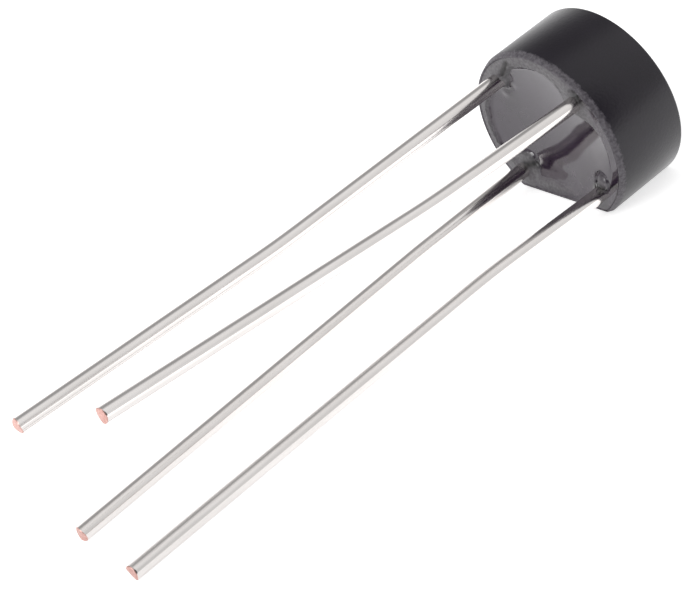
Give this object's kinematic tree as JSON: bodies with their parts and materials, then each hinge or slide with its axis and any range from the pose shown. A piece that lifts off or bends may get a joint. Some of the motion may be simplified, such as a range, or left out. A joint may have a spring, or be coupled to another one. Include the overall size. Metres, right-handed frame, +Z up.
{
  "type": "bridge rectifier",
  "caption": "Round through-hole bridge rectifier lying on the flat of its black plastic cup, with an epoxy-filled mouth and long, slightly splayed wire leads.",
  "frame": {"origin": "middle of the footprint, on the surface that the flat of the case and the tips of two leads lie on", "axes": "+X along the axis of the case towards its closed end, +Z up, +Y to the side of the positive lead"},
  "size_m": [0.0332, 0.009, 0.0088],
  "materials": {
    "case_plastic": "moulded charcoal plastic with a soft sheen",
    "potting_epoxy": "poured dark epoxy, glossy in its hollow and matt along the wall",
    "tinned_wire": "tinned copper wire, satin, with bare copper at the cut ends",
    "silicon": "dark, glassy silicon",
    "solder": "dull solder"
  },
  "bodies": {
    "root": {"case": "case_plastic", "potting": "potting_epoxy", "lead_positive": "tinned_wire", "lead_ac_1": "tinned_wire", "lead_negative": "tinned_wire", "lead_ac_2": "tinned_wire", "die_1": "silicon", "die_2": "silicon", "die_3": "silicon", "die_4": "silicon", "solder_low_1": "solder", "solder_low_2": "solder", "solder_low_3": "solder", "solder_low_4": "solder", "solder_high_1": "solder", "solder_high_2": "solder", "solder_high_3": "solder", "solder_high_4": "solder"}
  },
  "joints": []
}
